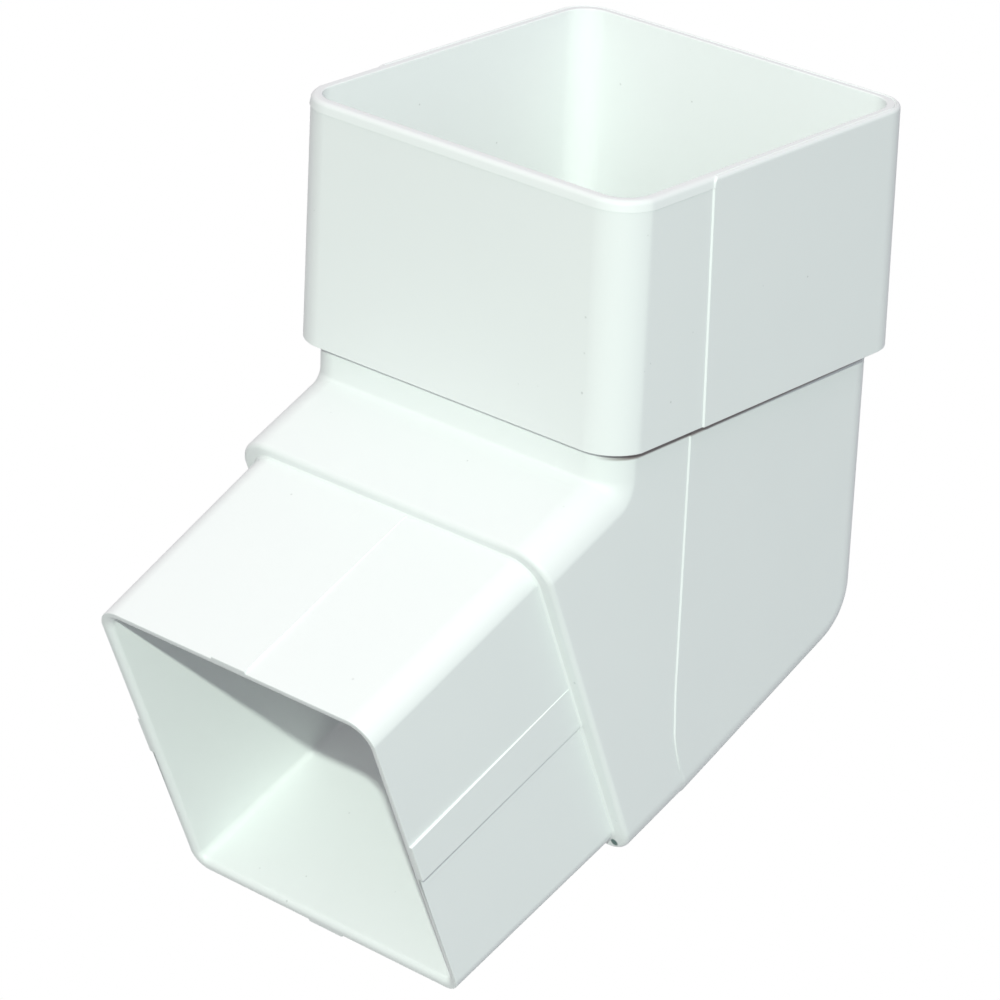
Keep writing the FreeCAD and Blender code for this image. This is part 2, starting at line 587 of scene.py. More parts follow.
@dataclass(frozen=True)
class Body:
    """The mitred square tube between the socket and the shoulder, with a round heel and throat.

    Attributes:
        leg: Frame of the lower leg.
        top: Height at which the outside starts, under the socket's foot.
        half: Half width of the outside.
        wall: Wall thickness.
        corner: Radius of the outer corners on the throat's side.
        rear_corner: Radius of the outer corners on the heel's side.
        throat_radius: Radius of the hollow throat.
        heel_radius: Radius of the round heel.
        reach: Length of the leg's upper face from the sharp throat to the shoulder.
        shoulder_round: Rounding of the shoulder's edge.
        top_fall: How far the leg's upper face falls towards the shoulder.
        underside_rise: How far the leg's underside rises from the parting line to the shoulder.
        rear_draft: Slope by which the sides draw in behind the parting line.
        line_lead: Distance before the parting line's end at which its last full step is drawn.
        line_fade: Distance to both sides of that end over which the step runs out.
        square_lead: Distance before that end from which the rings run square to the leg.
        throat_clear: Least distance of that place from the throat.
        line: The parting line on the sides.
    """

    leg: Leg
    top: float
    half: float = 33.0
    wall: float = 2.2
    corner: float = 6.7
    rear_corner: float = 5.3
    throat_radius: float = 0.8
    heel_radius: float = 12.0
    reach: float = 17.1
    shoulder_round: float = 0.9
    top_fall: float = 0.25
    underside_rise: float = 0.4
    rear_draft: float = math.tan(math.radians(1.1))
    line_lead: float = 0.5
    line_fade: float = 0.22
    square_lead: float = 0.8
    throat_clear: float = 0.05
    line: PartingLine = PartingLine()

    def outside_cuts(self, shoulder_knots: tuple[float, ...]) -> list[Cut]:
        """Rings down the outside, from under the socket to the flat of the shoulder.

        Args:
            shoulder_knots: Knots of the spigot's sides, which the shoulder takes over.

        Returns:
            The rings in order.
        """
        cuts = [self._parted(section) for section in self._bend_sections(Skin.OUTSIDE)]
        line_end = self._line_end()
        for along in (line_end - self.line_lead, line_end - self.line_fade):
            cuts.append(self._parted(self._leg_section(along)))
        level_start = line_end + self.line_fade
        for share in shares(SHOULDER_STEPS):
            along = between(level_start, -self.shoulder_round, share)
            section = self._leg_section(along)
            ended = self.line.knots(section, 1.0)
            knots = tuple(between(a, b, share) for a, b in zip(ended, shoulder_knots))
            cuts.append(Cut.whole(replace(section, knots=knots)))
        for share in shares(ROUND_STEPS)[1:]:
            angle = share * math.pi / 2
            along = -self.shoulder_round * (1 - math.sin(angle))
            section = self._leg_section(along).inset(self.shoulder_round * (1 - math.cos(angle)))
            cuts.append(Cut.whole(replace(section, knots=shoulder_knots)))
        return cuts

    def inside_cuts(self, bore_knots: tuple[float, ...]) -> list[Cut]:
        """Rings up the inside, from behind the shoulder to the ledge.

        Args:
            bore_knots: Knots of the spigot's bore, which the lowest ring takes over.

        Returns:
            The rings in order.
        """
        sections = self._bend_sections(Skin.INSIDE)
        end = self.wall
        low = Section(
            self.leg.at(-end, self.half - self.wall),
            self.leg.at(-end, self.wall - self.half),
            across(self.leg.turn),
            self.half - self.wall,
            self.half - self.wall,
            self.corner - self.wall,
            self.rear_corner - self.wall,
            knots=bore_knots,
        )
        return [Cut.whole(section) for section in [low] + sections[::-1]]

    def _line_end(self) -> float:
        """Distance along the leg at which the parting line has turned square to the spigot."""
        lean = math.pi / 2 - self.leg.turn
        z = self.line.bend_z - self.line.bend_radius * math.sin(lean)
        return self.leg.along(Vector((0.0, self.line.body_place(z, lean), z)))

    def _bend_sections(self, skin: Skin) -> list[Section]:
        """Sections fanned round the bend, from the body's top to where the leg runs square.

        Args:
            skin: Which skin of the wall they follow.

        Returns:
            The sections in order.
        """
        inset = 0.0 if skin is Skin.OUTSIDE else self.wall
        top = self.top if skin is Skin.OUTSIDE else 0.0
        half = self.half - inset
        turn = self.leg.turn
        upper = self.leg.at(-self.reach, half)
        throat_z = upper.z - (half + upper.y) / math.tan(turn)
        heel_z = throat_z - 2 * half * math.tan(turn / 2)
        throat_radius = self.throat_radius + inset
        heel_radius = self.heel_radius - inset
        throat_start = throat_z + throat_radius * math.tan(turn / 2)
        heel_start = heel_z + heel_radius * math.tan(turn / 2)
        throat_centre = Vector((0.0, -half - throat_radius, throat_start))
        heel_centre = Vector((0.0, half - heel_radius, heel_start))

        pairs = []
        for share in shares(UPRIGHT_STEPS)[:-1]:
            front = Vector((0.0, -half, between(top, throat_start, share)))
            back = Vector((0.0, half, between(top, heel_start, share)))
            pairs.append((front, back, 0.0))
        for share in shares(BEND_STEPS):
            angle = share * turn
            front = throat_centre + across(angle) * throat_radius
            back = heel_centre + across(angle) * heel_radius
            pairs.append((front, back, angle))
        last_front, last_back, _ = pairs[-1]
        throat_end = self.leg.along(last_front)
        heel_end = self.leg.along(last_back)
        square = max(throat_end + self.throat_clear, self._line_end() - self.square_lead)
        for share in shares(LEG_STEPS)[1:]:
            front = self.leg.at(between(throat_end, square, share), half)
            back = self.leg.at(between(heel_end, square, share), -half)
            pairs.append((front, back, turn))
        corner = self.corner - inset
        rear_corner = self.rear_corner - inset
        crisp = CORNER_CRISP if skin is Skin.OUTSIDE else 0.0
        return [
            Section(front, back, across(angle), half, half, corner, rear_corner, crisp)
            for front, back, angle in pairs
        ]

    def _leg_section(self, along: float) -> Section:
        """Section of the outside, square to the leg.

        Args:
            along: Distance from the shoulder; negative on the body.

        Returns:
            The section.
        """
        from_throat = 1 + along / self.reach
        line_end = self._line_end()
        from_line = max(0.0, 1 - along / line_end)
        front = self.leg.at(along, self.half - self.top_fall * from_throat)
        back = self.leg.at(along, -self.half + self.underside_rise * from_line)
        turned = across(self.leg.turn)
        return Section(
            front, back, turned, self.half, self.half, self.corner, self.rear_corner, CORNER_CRISP
        )

    def _parted(self, section: Section) -> Cut:
        """Ring on which the rear mould half stands out behind the parting line.

        Args:
            section: The section without the step.

        Returns:
            The ring.
        """
        lean = math.pi / 2 - self.leg.turn
        knots = self.line.knots(section, self.line.crossing(section, lean))
        _, end = section.side_ends()
        half = section.half + self.line.body_step
        back_half = half - self.rear_draft * max(0.0, end.y - self.line.body_y)
        front = replace(section, knots=knots)
        return Cut(front, replace(front, half=half, back_half=back_half))


@dataclass(frozen=True)
class Spigot:
    """The tapered spigot that enters the lower pipe, with a raised strip along the middle of each face.

    Attributes:
        leg: Frame of the lower leg.
        length: Length from the shoulder to the mouth.
        root_half: Half width at the shoulder, across the sides.
        tip_half: Half width at the mouth, across the sides.
        root_rise: Half depth at the shoulder, between upper face and underside.
        tip_rise: Half depth at the mouth.
        corner: Radius of the upper outer corners.
        lower_corner: Radius of the lower outer corners.
        wall: Wall thickness at the mouth.
        root_wall: Wall thickness at the shoulder.
        root_slope: Size of the slope between the shoulder and the spigot.
        end_round: Rounding of the mouth's outer edge.
        bore_round: Rounding of the mouth's inner edge.
        root_band: The strips at the shoulder.
        tip_band: The strips at the mouth.
        bore_start: Distance behind the shoulder at which the bore opens into the body.
    """

    leg: Leg
    length: float
    root_half: float = 30.2
    tip_half: float = 29.4
    root_rise: float = 30.6
    tip_rise: float = 29.44
    corner: float = 4.9
    lower_corner: float = 3.2
    wall: float = 1.7
    root_wall: float = 2.3
    root_slope: float = 0.3
    end_round: float = 0.15
    bore_round: float = 1.15
    root_band: Band = Band(4.15, 0.07, dip=0.35)
    tip_band: Band = Band(3.6, 0.48, dip=0.4)
    bore_start: float = 2.2

    def outside_cuts(self) -> list[Cut]:
        """Rings from the shoulder to the mouth and over its outer edge, where the strips end square."""
        cuts = [Cut.whole(self._bare(self._section(0.0)).inset(-self.root_slope))]
        straight = self.length - self.end_round
        places = [between(self.root_slope, straight, share) for share in shares(SPIGOT_STEPS)]
        cuts += [Cut.whole(self._section(along)) for along in places]
        tip = self._section(straight)
        for share in shares(ROUND_STEPS)[1:]:
            angle = share * math.pi / 2
            forward = self.leg.down * (self.end_round * math.sin(angle))
            cuts.append(Cut.whole(tip.inset(self.end_round * (1 - math.cos(angle)), forward)))
        end = self._bare(tip).inset(self.end_round, self.leg.down * self.end_round)
        cuts.append(Cut.whole(end))
        return cuts

    def bore_cuts(self) -> list[Cut]:
        """Rings from the mouth's inner edge up the bore into the body."""
        cuts = []
        start = self.length - self.bore_round
        for share in shares(ROUND_STEPS):
            angle = (1 - share) * math.pi / 2
            along = start + self.bore_round * math.sin(angle)
            cuts.append(Cut.whole(self._bore(along).inset(-self.bore_round * (1 - math.cos(angle)))))
        for share in shares(SPIGOT_BORE_STEPS)[1:]:
            cuts.append(Cut.whole(self._bore(between(start, -self.bore_start, share))))
        return cuts

    def shoulder_knots(self) -> tuple[float, ...]:
        """Knots of the sides at the shoulder."""
        return self._section(0.0).knots

    def bore_knots(self) -> tuple[float, ...]:
        """Knots of the bore's sides."""
        return self._bore(0.0).knots

    def _section(self, along: float) -> Section:
        """Section of the outside, with its strips.

        Args:
            along: Distance from the shoulder.

        Returns:
            The section.
        """
        share = along / self.length
        band = Band(
            between(self.root_band.half_width, self.tip_band.half_width, share),
            between(self.root_band.proud, self.tip_band.proud, share),
            dip=between(self.root_band.dip, self.tip_band.dip, share),
        )
        half = between(self.root_half, self.tip_half, share)
        rise = between(self.root_rise, self.tip_rise, share)
        section = self._banded(along, half, rise, self.corner, self.lower_corner, band)
        return replace(section, side_proud=band.proud, crisp=CORNER_CRISP)

    @staticmethod
    def _bare(section: Section) -> Section:
        """The section without its strips."""
        return replace(section, band=replace(section.band, proud=0.0, dip=0.0), side_proud=0.0)

    def _bore(self, along: float) -> Section:
        """Section of the bore.

        Args:
            along: Distance from the shoulder.

        Returns:
            The section.
        """
        share = along / self.length
        half = between(self.root_half - self.root_wall, self.tip_half - self.wall, share)
        rise = between(self.root_rise - self.root_wall, self.tip_rise - self.wall, share)
        wall = between(self.root_wall, self.wall, share)
        band = Band(self.tip_band.half_width)
        return self._banded(along, half, rise, self.corner - wall, self.lower_corner - wall, band)

    def _banded(
        self, along: float, half: float, rise: float, corner: float, lower_corner: float, band: Band
    ) -> Section:
        """Section square to the leg with its knots at the edges of the side strips.

        Args:
            along: Distance from the shoulder.
            half: Half width.
            rise: Half depth.
            corner: Radius of the upper corners.
            lower_corner: Radius of the lower corners.
            band: The strips.

        Returns:
            The section.
        """
        flat = 2 * rise - corner - lower_corner
        middle = (rise - corner) / flat
        inner = (band.half_width - band.bevel) / flat
        outer = (band.half_width + band.bevel) / flat
        return Section(
            self.leg.at(along, rise),
            self.leg.at(along, -rise),
            across(self.leg.turn),
            half,
            half,
            corner,
            lower_corner,
            knots=(middle - outer, middle - inner, middle + inner, middle + outer),
            band=band,
        )


def blend_colours(
    tree: bpy.types.NodeTree,
    factor: bpy.types.NodeSocket,
    first: bpy.types.NodeSocket | tuple[float, float, float],
    second: tuple[float, float, float],
) -> bpy.types.NodeSocket:
    """Blends one colour into another.

    Args:
        tree: Node tree to add to.
        factor: Share of the second colour.
        first: First colour, or the socket that gives it.
        second: Second colour.

    Returns:
        The socket with the blend.
    """
    mix = tree.nodes.new("ShaderNodeMix")
    mix.data_type = "RGBA"
    factor_in, first_in, second_in = mix.inputs[0], mix.inputs[6], mix.inputs[7]
    tree.links.new(factor, factor_in)
    if isinstance(first, tuple):
        first_in.default_value = (*first, 1.0)
    else:
        tree.links.new(first, first_in)
    second_in.default_value = (*second, 1.0)
    return mix.outputs[2]


@dataclass(frozen=True)
class PaintedShade:
    """Painted shade in two places: a dark line in the corner under the socket's foot, and a painted shadow
    spot at the shoulder's lower corner.

    Attributes:
        leg: The leg that the spigot lies on.
        crease: Colour of the painted shade in the corner under the foot, on the two sides.
        crease_top: Height where that painted shade begins.
        crease_foot: Height where it has faded out.
        crease_fade: Height over which it fades.
        side: Distance from the middle plane beyond which it is full.
        side_fade: Width over which it fades out round the corners.
        spot: Colour of the painted shadow at the shoulder's lower corner.
        spot_place: Place of the spot, as width, distance from the shoulder and level on the leg.
        spot_radius: Radius of the spot.
        spot_core: Share of that radius within which the spot is full.
    """

    leg: Leg
    # Painted shade: dark colour standing in for the shadow in the corner under the socket's foot.
    crease: tuple[float, float, float] = (0.24, 0.21, 0.205)
    crease_top: float = -2.1
    crease_foot: float = -4.35
    crease_fade: float = 0.35
    side: float = 32.6
    side_fade: float = 4.0
    # Painted shadow: dark colour standing in for the shade below the spigot's lower corner.
    spot: tuple[float, float, float] = (0.06, 0.13, 0.12)
    spot_place: tuple[float, float, float] = (29.6, 0.15, -30.6)
    spot_radius: float = 0.9
    spot_core: float = 0.6

    def paint_shade(
        self, tree: bpy.types.NodeTree, place: bpy.types.NodeSocket, plastic: bpy.types.NodeSocket
    ) -> bpy.types.NodeSocket:
        """Colour of the plastic with the painted shade on it.

        Args:
            tree: Node tree of the material.
            place: Place on the part.
            plastic: Colour of the clean plastic.

        Returns:
            The colour.
        """
        # Painted shade: a dark line in the corner under the socket's foot, on the sides.
        coloured = blend_colours(tree, self._crease_shade_mask(tree, place), plastic, self.crease)
        # Painted shadow: a dark spot at the shoulder's lower corner.
        return blend_colours(tree, self._spot_shadow_mask(tree, place), coloured, self.spot)

    @staticmethod
    def _rise(
        tree: bpy.types.NodeTree, value: bpy.types.NodeSocket, start: float, full: float
    ) -> bpy.types.NodeSocket:
        """Value that grows from 0 to 1 between two lengths in millimetres.

        Args:
            tree: Node tree of the material.
            value: Length in metres.
            start: Length at which the result is 0.
            full: Length at which it is 1.

        Returns:
            The result.
        """
        spread = tree.nodes.new("ShaderNodeMapRange")
        spread.inputs["From Min"].default_value = start * MM
        spread.inputs["From Max"].default_value = full * MM
        tree.links.new(value, spread.inputs["Value"])
        return spread.outputs["Result"]

    @staticmethod
    def _both(
        tree: bpy.types.NodeTree, first: bpy.types.NodeSocket, second: bpy.types.NodeSocket
    ) -> bpy.types.NodeSocket:
        """Product of two masks.

        Args:
            tree: Node tree of the material.
            first: First mask.
            second: Second mask.

        Returns:
            The product.
        """
        product = tree.nodes.new("ShaderNodeMath")
        product.operation = "MULTIPLY"
        tree.links.new(first, product.inputs[0])
        tree.links.new(second, product.inputs[1])
        return product.outputs[0]

    def _crease_shade_mask(self, tree: bpy.types.NodeTree, place: bpy.types.NodeSocket) -> bpy.types.NodeSocket:
        """Mask of the painted shade in the corner under the foot, on the two sides of the body.

        Args:
            tree: Node tree of the material.
            place: Place on the part.

        Returns:
            The mask.
        """
        split = tree.nodes.new("ShaderNodeSeparateXYZ")
        tree.links.new(place, split.inputs["Vector"])
        width = tree.nodes.new("ShaderNodeMath")
        width.operation = "ABSOLUTE"
        tree.links.new(split.outputs["X"], width.inputs[0])
        height = split.outputs["Z"]
        lower = self._rise(tree, height, self.crease_foot, self.crease_foot + self.crease_fade)
        upper = self._rise(tree, height, self.crease_top, self.crease_top - self.crease_fade)
        beside = self._rise(tree, width.outputs[0], self.side - self.side_fade, self.side)
        return self._both(tree, self._both(tree, lower, upper), beside)

    def _spot_shadow_mask(self, tree: bpy.types.NodeTree, place: bpy.types.NodeSocket) -> bpy.types.NodeSocket:
        """Mask of the painted shadow at the shoulder's lower corner.

        Args:
            tree: Node tree of the material.
            place: Place on the part.

        Returns:
            The mask.
        """
        x, along, level = self.spot_place
        centre = (self.leg.at(along, level) + Vector((x, 0.0, 0.0))) * MM
        apart = tree.nodes.new("ShaderNodeVectorMath")
        apart.operation = "DISTANCE"
        apart.inputs[1].default_value = centre
        tree.links.new(place, apart.inputs[0])
        core = self.spot_core * self.spot_radius
        return self._rise(tree, apart.outputs["Value"], self.spot_radius, core)


@dataclass(frozen=True)
class WhitePvc:
    """Finish of the moulding: white rigid PVC with a faint green cast, low gloss, sparse dust and painted
    shade.

    Attributes:
        painted_shade: The painted shade laid into its colour.
        name: Name of the material.
        base: Main colour.
        cloud: Colour of the faint clouds in the plastic.
        dust: Colour of the dust specks.
        roughness_low: Roughness of the shinier patches.
        roughness_high: Roughness of the duller patches.
        cloud_size: Size of the clouds, in millimetres.
        cloud_detail: Number of finer layers in the clouds.
        cloud_low: Noise of the clouds at which the plastic is shiniest.
        cloud_high: Noise of the clouds at which it is dullest.
        dust_cell: Mean distance between specks, in millimetres.
        dust_radius: Radius of the largest speck, in millimetres.
        dust_bare: Share of the cells without a speck.
        dust_cover: How far the dust's colour covers the plastic in the middle of a speck.
        grain_size: Size of the fine grain of the mould's surface, in millimetres.
        grain_detail: Number of finer layers in that grain.
        grain_height: Height of that grain, in millimetres.
        ior: Refractive index.
        gloss: Strength of the reflections.
    """

    # Painted shade under the socket's foot and painted shadow at the shoulder's lower corner.
    painted_shade: PaintedShade
    name: str = "white_pvc"
    base: tuple[float, float, float] = (0.838, 0.87, 0.862)
    cloud: tuple[float, float, float] = (0.828, 0.861, 0.856)
    dust: tuple[float, float, float] = (0.33, 0.36, 0.35)
    roughness_low: float = 0.42
    roughness_high: float = 0.5
    cloud_size: float = 14.0
    cloud_detail: float = 3.0
    cloud_low: float = 0.3
    cloud_high: float = 0.7
    dust_cell: float = 4.0
    dust_radius: float = 0.34
    dust_bare: float = 0.3
    dust_cover: float = 0.55
    grain_size: float = 0.5
    grain_detail: float = 2.0
    grain_height: float = 0.004
    ior: float = 1.53
    gloss: float = 0.3

    def material(self) -> bpy.types.Material:
        """The finish as a node material."""
        material = bpy.data.materials.new(self.name)
        material.use_nodes = True
        tree = material.node_tree
        shader = tree.nodes["Principled BSDF"]
        shader.inputs["IOR"].default_value = self.ior
        shader.inputs["Specular IOR Level"].default_value = self.gloss
        place = tree.nodes.new("ShaderNodeTexCoord").outputs["Object"]
        clouds = self._noise(tree, place, self.cloud_size, self.cloud_detail)
        plastic = blend_colours(tree, clouds, self.base, self.cloud)
        dusty = blend_colours(tree, self._dust_mask(tree, place), plastic, self.dust)
        # Painted shade and painted shadow are laid into the colour here.
        coloured = self.painted_shade.paint_shade(tree, place, dusty)
        tree.links.new(coloured, shader.inputs["Base Color"])
        tree.links.new(self._roughness(tree, clouds), shader.inputs["Roughness"])
        tree.links.new(self._grain(tree, place), shader.inputs["Normal"])
        return material

    @staticmethod
    def _noise(
        tree: bpy.types.NodeTree, place: bpy.types.NodeSocket, size: float, detail: float
    ) -> bpy.types.NodeSocket:
        """Noise as a value around one half.

        Args:
            tree: Node tree of the material.
            place: Place on the part.
            size: Size of its features, in millimetres.
            detail: Number of finer layers.

        Returns:
            The noise.
        """
        noise = tree.nodes.new("ShaderNodeTexNoise")
        noise.inputs["Scale"].default_value = 1 / (size * MM)
        noise.inputs["Detail"].default_value = detail
        tree.links.new(place, noise.inputs["Vector"])
        return noise.outputs["Fac"]

    def _dust_mask(self, tree: bpy.types.NodeTree, place: bpy.types.NodeSocket) -> bpy.types.NodeSocket:
        """Mask of the dust: one speck of its own size in most cells of a random net.

        Args:
            tree: Node tree of the material.
            place: Place on the part.

        Returns:
            The mask.
        """
        cells = tree.nodes.new("ShaderNodeTexVoronoi")
        cells.inputs["Scale"].default_value = 1 / (self.dust_cell * MM)
        tree.links.new(place, cells.inputs["Vector"])
        pick = tree.nodes.new("ShaderNodeSeparateColor")
        tree.links.new(cells.outputs["Color"], pick.inputs["Color"])
        size = tree.nodes.new("ShaderNodeMapRange")
        size.inputs["From Min"].default_value = self.dust_bare
        size.inputs["From Max"].default_value = 1.0
        size.inputs["To Min"].default_value = 0.0
        size.inputs["To Max"].default_value = self.dust_radius / self.dust_cell
        tree.links.new(pick.outputs["Red"], size.inputs["Value"])
        inside = tree.nodes.new("ShaderNodeMapRange")
        inside.inputs["To Min"].default_value = self.dust_cover
        inside.inputs["To Max"].default_value = 0.0
        inside.inputs["From Min"].default_value = 0.0
        tree.links.new(cells.outputs["Distance"], inside.inputs["Value"])
        tree.links.new(size.outputs["Result"], inside.inputs["From Max"])
        return inside.outputs["Result"]

    def _roughness(self, tree: bpy.types.NodeTree, clouds: bpy.types.NodeSocket) -> bpy.types.NodeSocket:
        """Roughness that follows the clouds.

        Args:
            tree: Node tree of the material.
            clouds: The clouds' noise.

        Returns:
            The roughness.
        """
        spread = tree.nodes.new("ShaderNodeMapRange")
        spread.inputs["From Min"].default_value = self.cloud_low
        spread.inputs["From Max"].default_value = self.cloud_high
        spread.inputs["To Min"].default_value = self.roughness_low
        spread.inputs["To Max"].default_value = self.roughness_high
        tree.links.new(clouds, spread.inputs["Value"])
        return spread.outputs["Result"]

    def _grain(self, tree: bpy.types.NodeTree, place: bpy.types.NodeSocket) -> bpy.types.NodeSocket:
        """Normal of the fine grain.

        Args:
            tree: Node tree of the material.
            place: Place on the part.

        Returns:
            The normal.
        """
        bump = tree.nodes.new("ShaderNodeBump")
        bump.inputs["Strength"].default_value = 1.0
        bump.inputs["Distance"].default_value = self.grain_height * MM
        grain = self._noise(tree, place, self.grain_size, self.grain_detail)
        tree.links.new(grain, bump.inputs["Height"])
        return bump.outputs["Normal"]


@dataclass(frozen=True)
class PaleFloor:
    """Finish of the studio floor: matt and pale, lifted to white for the eye, so that only shadow shows.

    Attributes:
        name: Name of the material.
        albedo: Grey level of the floor in the light that it sends back to the part.
        lift: Light that the floor adds for the eye alone.
        roughness: Roughness of the floor.
    """

    name: str = "pale_floor"
    albedo: float = 0.8
    lift: float = 0.35
    roughness: float = 0.9

    def material(self) -> bpy.types.Material:
        """The finish as a node material."""
        material = bpy.data.materials.new(self.name)
        material.use_nodes = True
        tree = material.node_tree
        shader = tree.nodes["Principled BSDF"]
        shader.inputs["Base Color"].default_value = (self.albedo, self.albedo, self.albedo, 1.0)
        shader.inputs["Roughness"].default_value = self.roughness
        shader.inputs["Emission Color"].default_value = (1.0, 1.0, 1.0, 1.0)
        seen = seen_by_eye(tree)
        level = tree.nodes.new("ShaderNodeMath")
        level.operation = "MULTIPLY"
        level.inputs[1].default_value = self.lift
        tree.links.new(seen, level.inputs[0])
        tree.links.new(level.outputs[0], shader.inputs["Emission Strength"])
        return material


def seen_by_eye(tree: bpy.types.NodeTree) -> bpy.types.NodeSocket:
    """Value that is 1 for what the eye sees, also mirrored or through glass, and 0 for light on the part.

    Args:
        tree: Node tree of the material or the world.

    Returns:
        The value.
    """
    path = tree.nodes.new("ShaderNodeLightPath")
    seen = path.outputs["Is Camera Ray"]
    for ray in ("Is Glossy Ray", "Is Transmission Ray"):
        either = tree.nodes.new("ShaderNodeMath")
        either.operation = "MAXIMUM"
        tree.links.new(seen, either.inputs[0])
        tree.links.new(path.outputs[ray], either.inputs[1])
        seen = either.outputs[0]
    return seen


@dataclass(frozen=True)
class ElbowMoulding:
    """The whole elbow as one closed skin: socket, mitred body and spigot, outside and in.

    Attributes:
        socket: The socket.
        body: The body.
        spigot: The spigot.
        finish: The plastic.
        crease: Angle in degrees above which an edge is drawn sharp.
    """

    socket: Socket
    body: Body
    spigot: Spigot
    finish: WhitePvc
    crease: float = 24.0

    def cuts(self) -> list[Cut]:
        """All rings in order, out over the rim, down to the mouth, and back up the inside."""
        cuts = self.socket.rim_cuts()
        cuts += self.socket.wall_cuts()
        cuts += self.body.outside_cuts(self.spigot.shoulder_knots())
        cuts += self.spigot.outside_cuts()
        cuts += self.spigot.bore_cuts()
        cuts += self.body.inside_cuts(self.spigot.bore_knots())
        cuts += self.socket.bore_cuts()
        return cuts

    def build(self) -> bpy.types.Object:
        """The dressed moulding, riding on the part's body in place of its plain solid."""
        rings = [cut.ring() for cut in self.cuts()]
        points = [point * MM for ring in rings for point in ring]
        mesh = bpy.data.meshes.new("elbow_moulding")
        mesh.from_pydata(points, [], self._faces(len(rings), len(rings[0])))
        mesh.validate()
        mesh.polygons.foreach_set("use_smooth", [True] * len(mesh.polygons))
        mesh.set_sharp_from_angle(angle=math.radians(self.crease))
        piece = bpy.data.objects.new("elbow_moulding", mesh)
        bpy.context.scene.collection.objects.link(piece)
        even = piece.modifiers.new("even_shading", "WEIGHTED_NORMAL")
        even.keep_sharp = True
        mesh.materials.append(self.finish.material())
        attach(piece, "root")
        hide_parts(CAD_NODE)
        LOG.info("%s: %d rings of %d points", piece.name, len(rings), len(rings[0]))
        return piece

    @staticmethod
    def _faces(ring_count: int, ring_size: int) -> list[tuple[int, int, int, int]]:
        """Quads that join each ring to the next, and the last to the first.

        Args:
            ring_count: Number of rings.
            ring_size: Number of points in each.

        Returns:
            The quads, as indices of their points.
        """
        faces = []
        for ring in range(ring_count):
            here = ring * ring_size
            there = (ring + 1) % ring_count * ring_size
            for step in range(ring_size):
                after = (step + 1) % ring_size
                faces.append((here + step, there + step, there + after, here + after))
        return faces


def towards(azimuth: float, elevation: float) -> Vector:
    """Unit direction from the part to a place in the studio.

    Args:
        azimuth: Angle round the part from -Y towards +X, in degrees.
        elevation: Angle above the horizon, in degrees.

    Returns:
        The direction.
    """
    around = math.radians(azimuth)
    above = math.radians(elevation)
    level = math.cos(above)
    return Vector((math.sin(around) * level, -math.cos(around) * level, math.sin(above)))


@dataclass(frozen=True)
class Lamp:
    """A round lamp that points at the part.

    Attributes:
        name: Name of the lamp.
        azimuth: Angle round the part, in degrees.
        elevation: Angle above the horizon, in degrees.
        distance: Distance from the part, in metres.
        size: Diameter, in metres.
        level: Brightness that it gives a white face square to it.
        colour: Colour of its light.
    """

    name: str
    azimuth: float
    elevation: float
    distance: float
    size: float
    level: float
    colour: tuple[float, float, float] = (1.0, 1.0, 1.0)

    def build(self, aim: Vector) -> None:
        """Places the lamp.

        Args:
            aim: Point that it shines at, in metres.
        """
        outward = towards(self.azimuth, self.elevation)
        data = bpy.data.lights.new(self.name, "AREA")
        data.shape = "DISK"
        data.size = self.size
        data.energy = self.level * math.pi**2 * self.distance**2
        data.color = self.colour
        self._even_out(data)
        lamp = bpy.data.objects.new(self.name, data)
        bpy.context.scene.collection.objects.link(lamp)
        lamp.location = aim + outward * self.distance
        lamp.rotation_euler = outward.to_track_quat("Z", "Y").to_euler()
        LOG.info("%s: %.1f W", self.name, data.energy)

    def _even_out(self, data: bpy.types.Light) -> None:
        """Keeps the lamp's level the same on the near and the far end of the part.

        Args:
            data: The lamp's light.
        """
        data.use_nodes = True
        tree = data.node_tree
        falloff = tree.nodes.new("ShaderNodeLightFalloff")
        falloff.inputs["Strength"].default_value = 1 / self.distance**2
        tree.links.new(falloff.outputs["Constant"], tree.nodes["Emission"].inputs["Strength"])


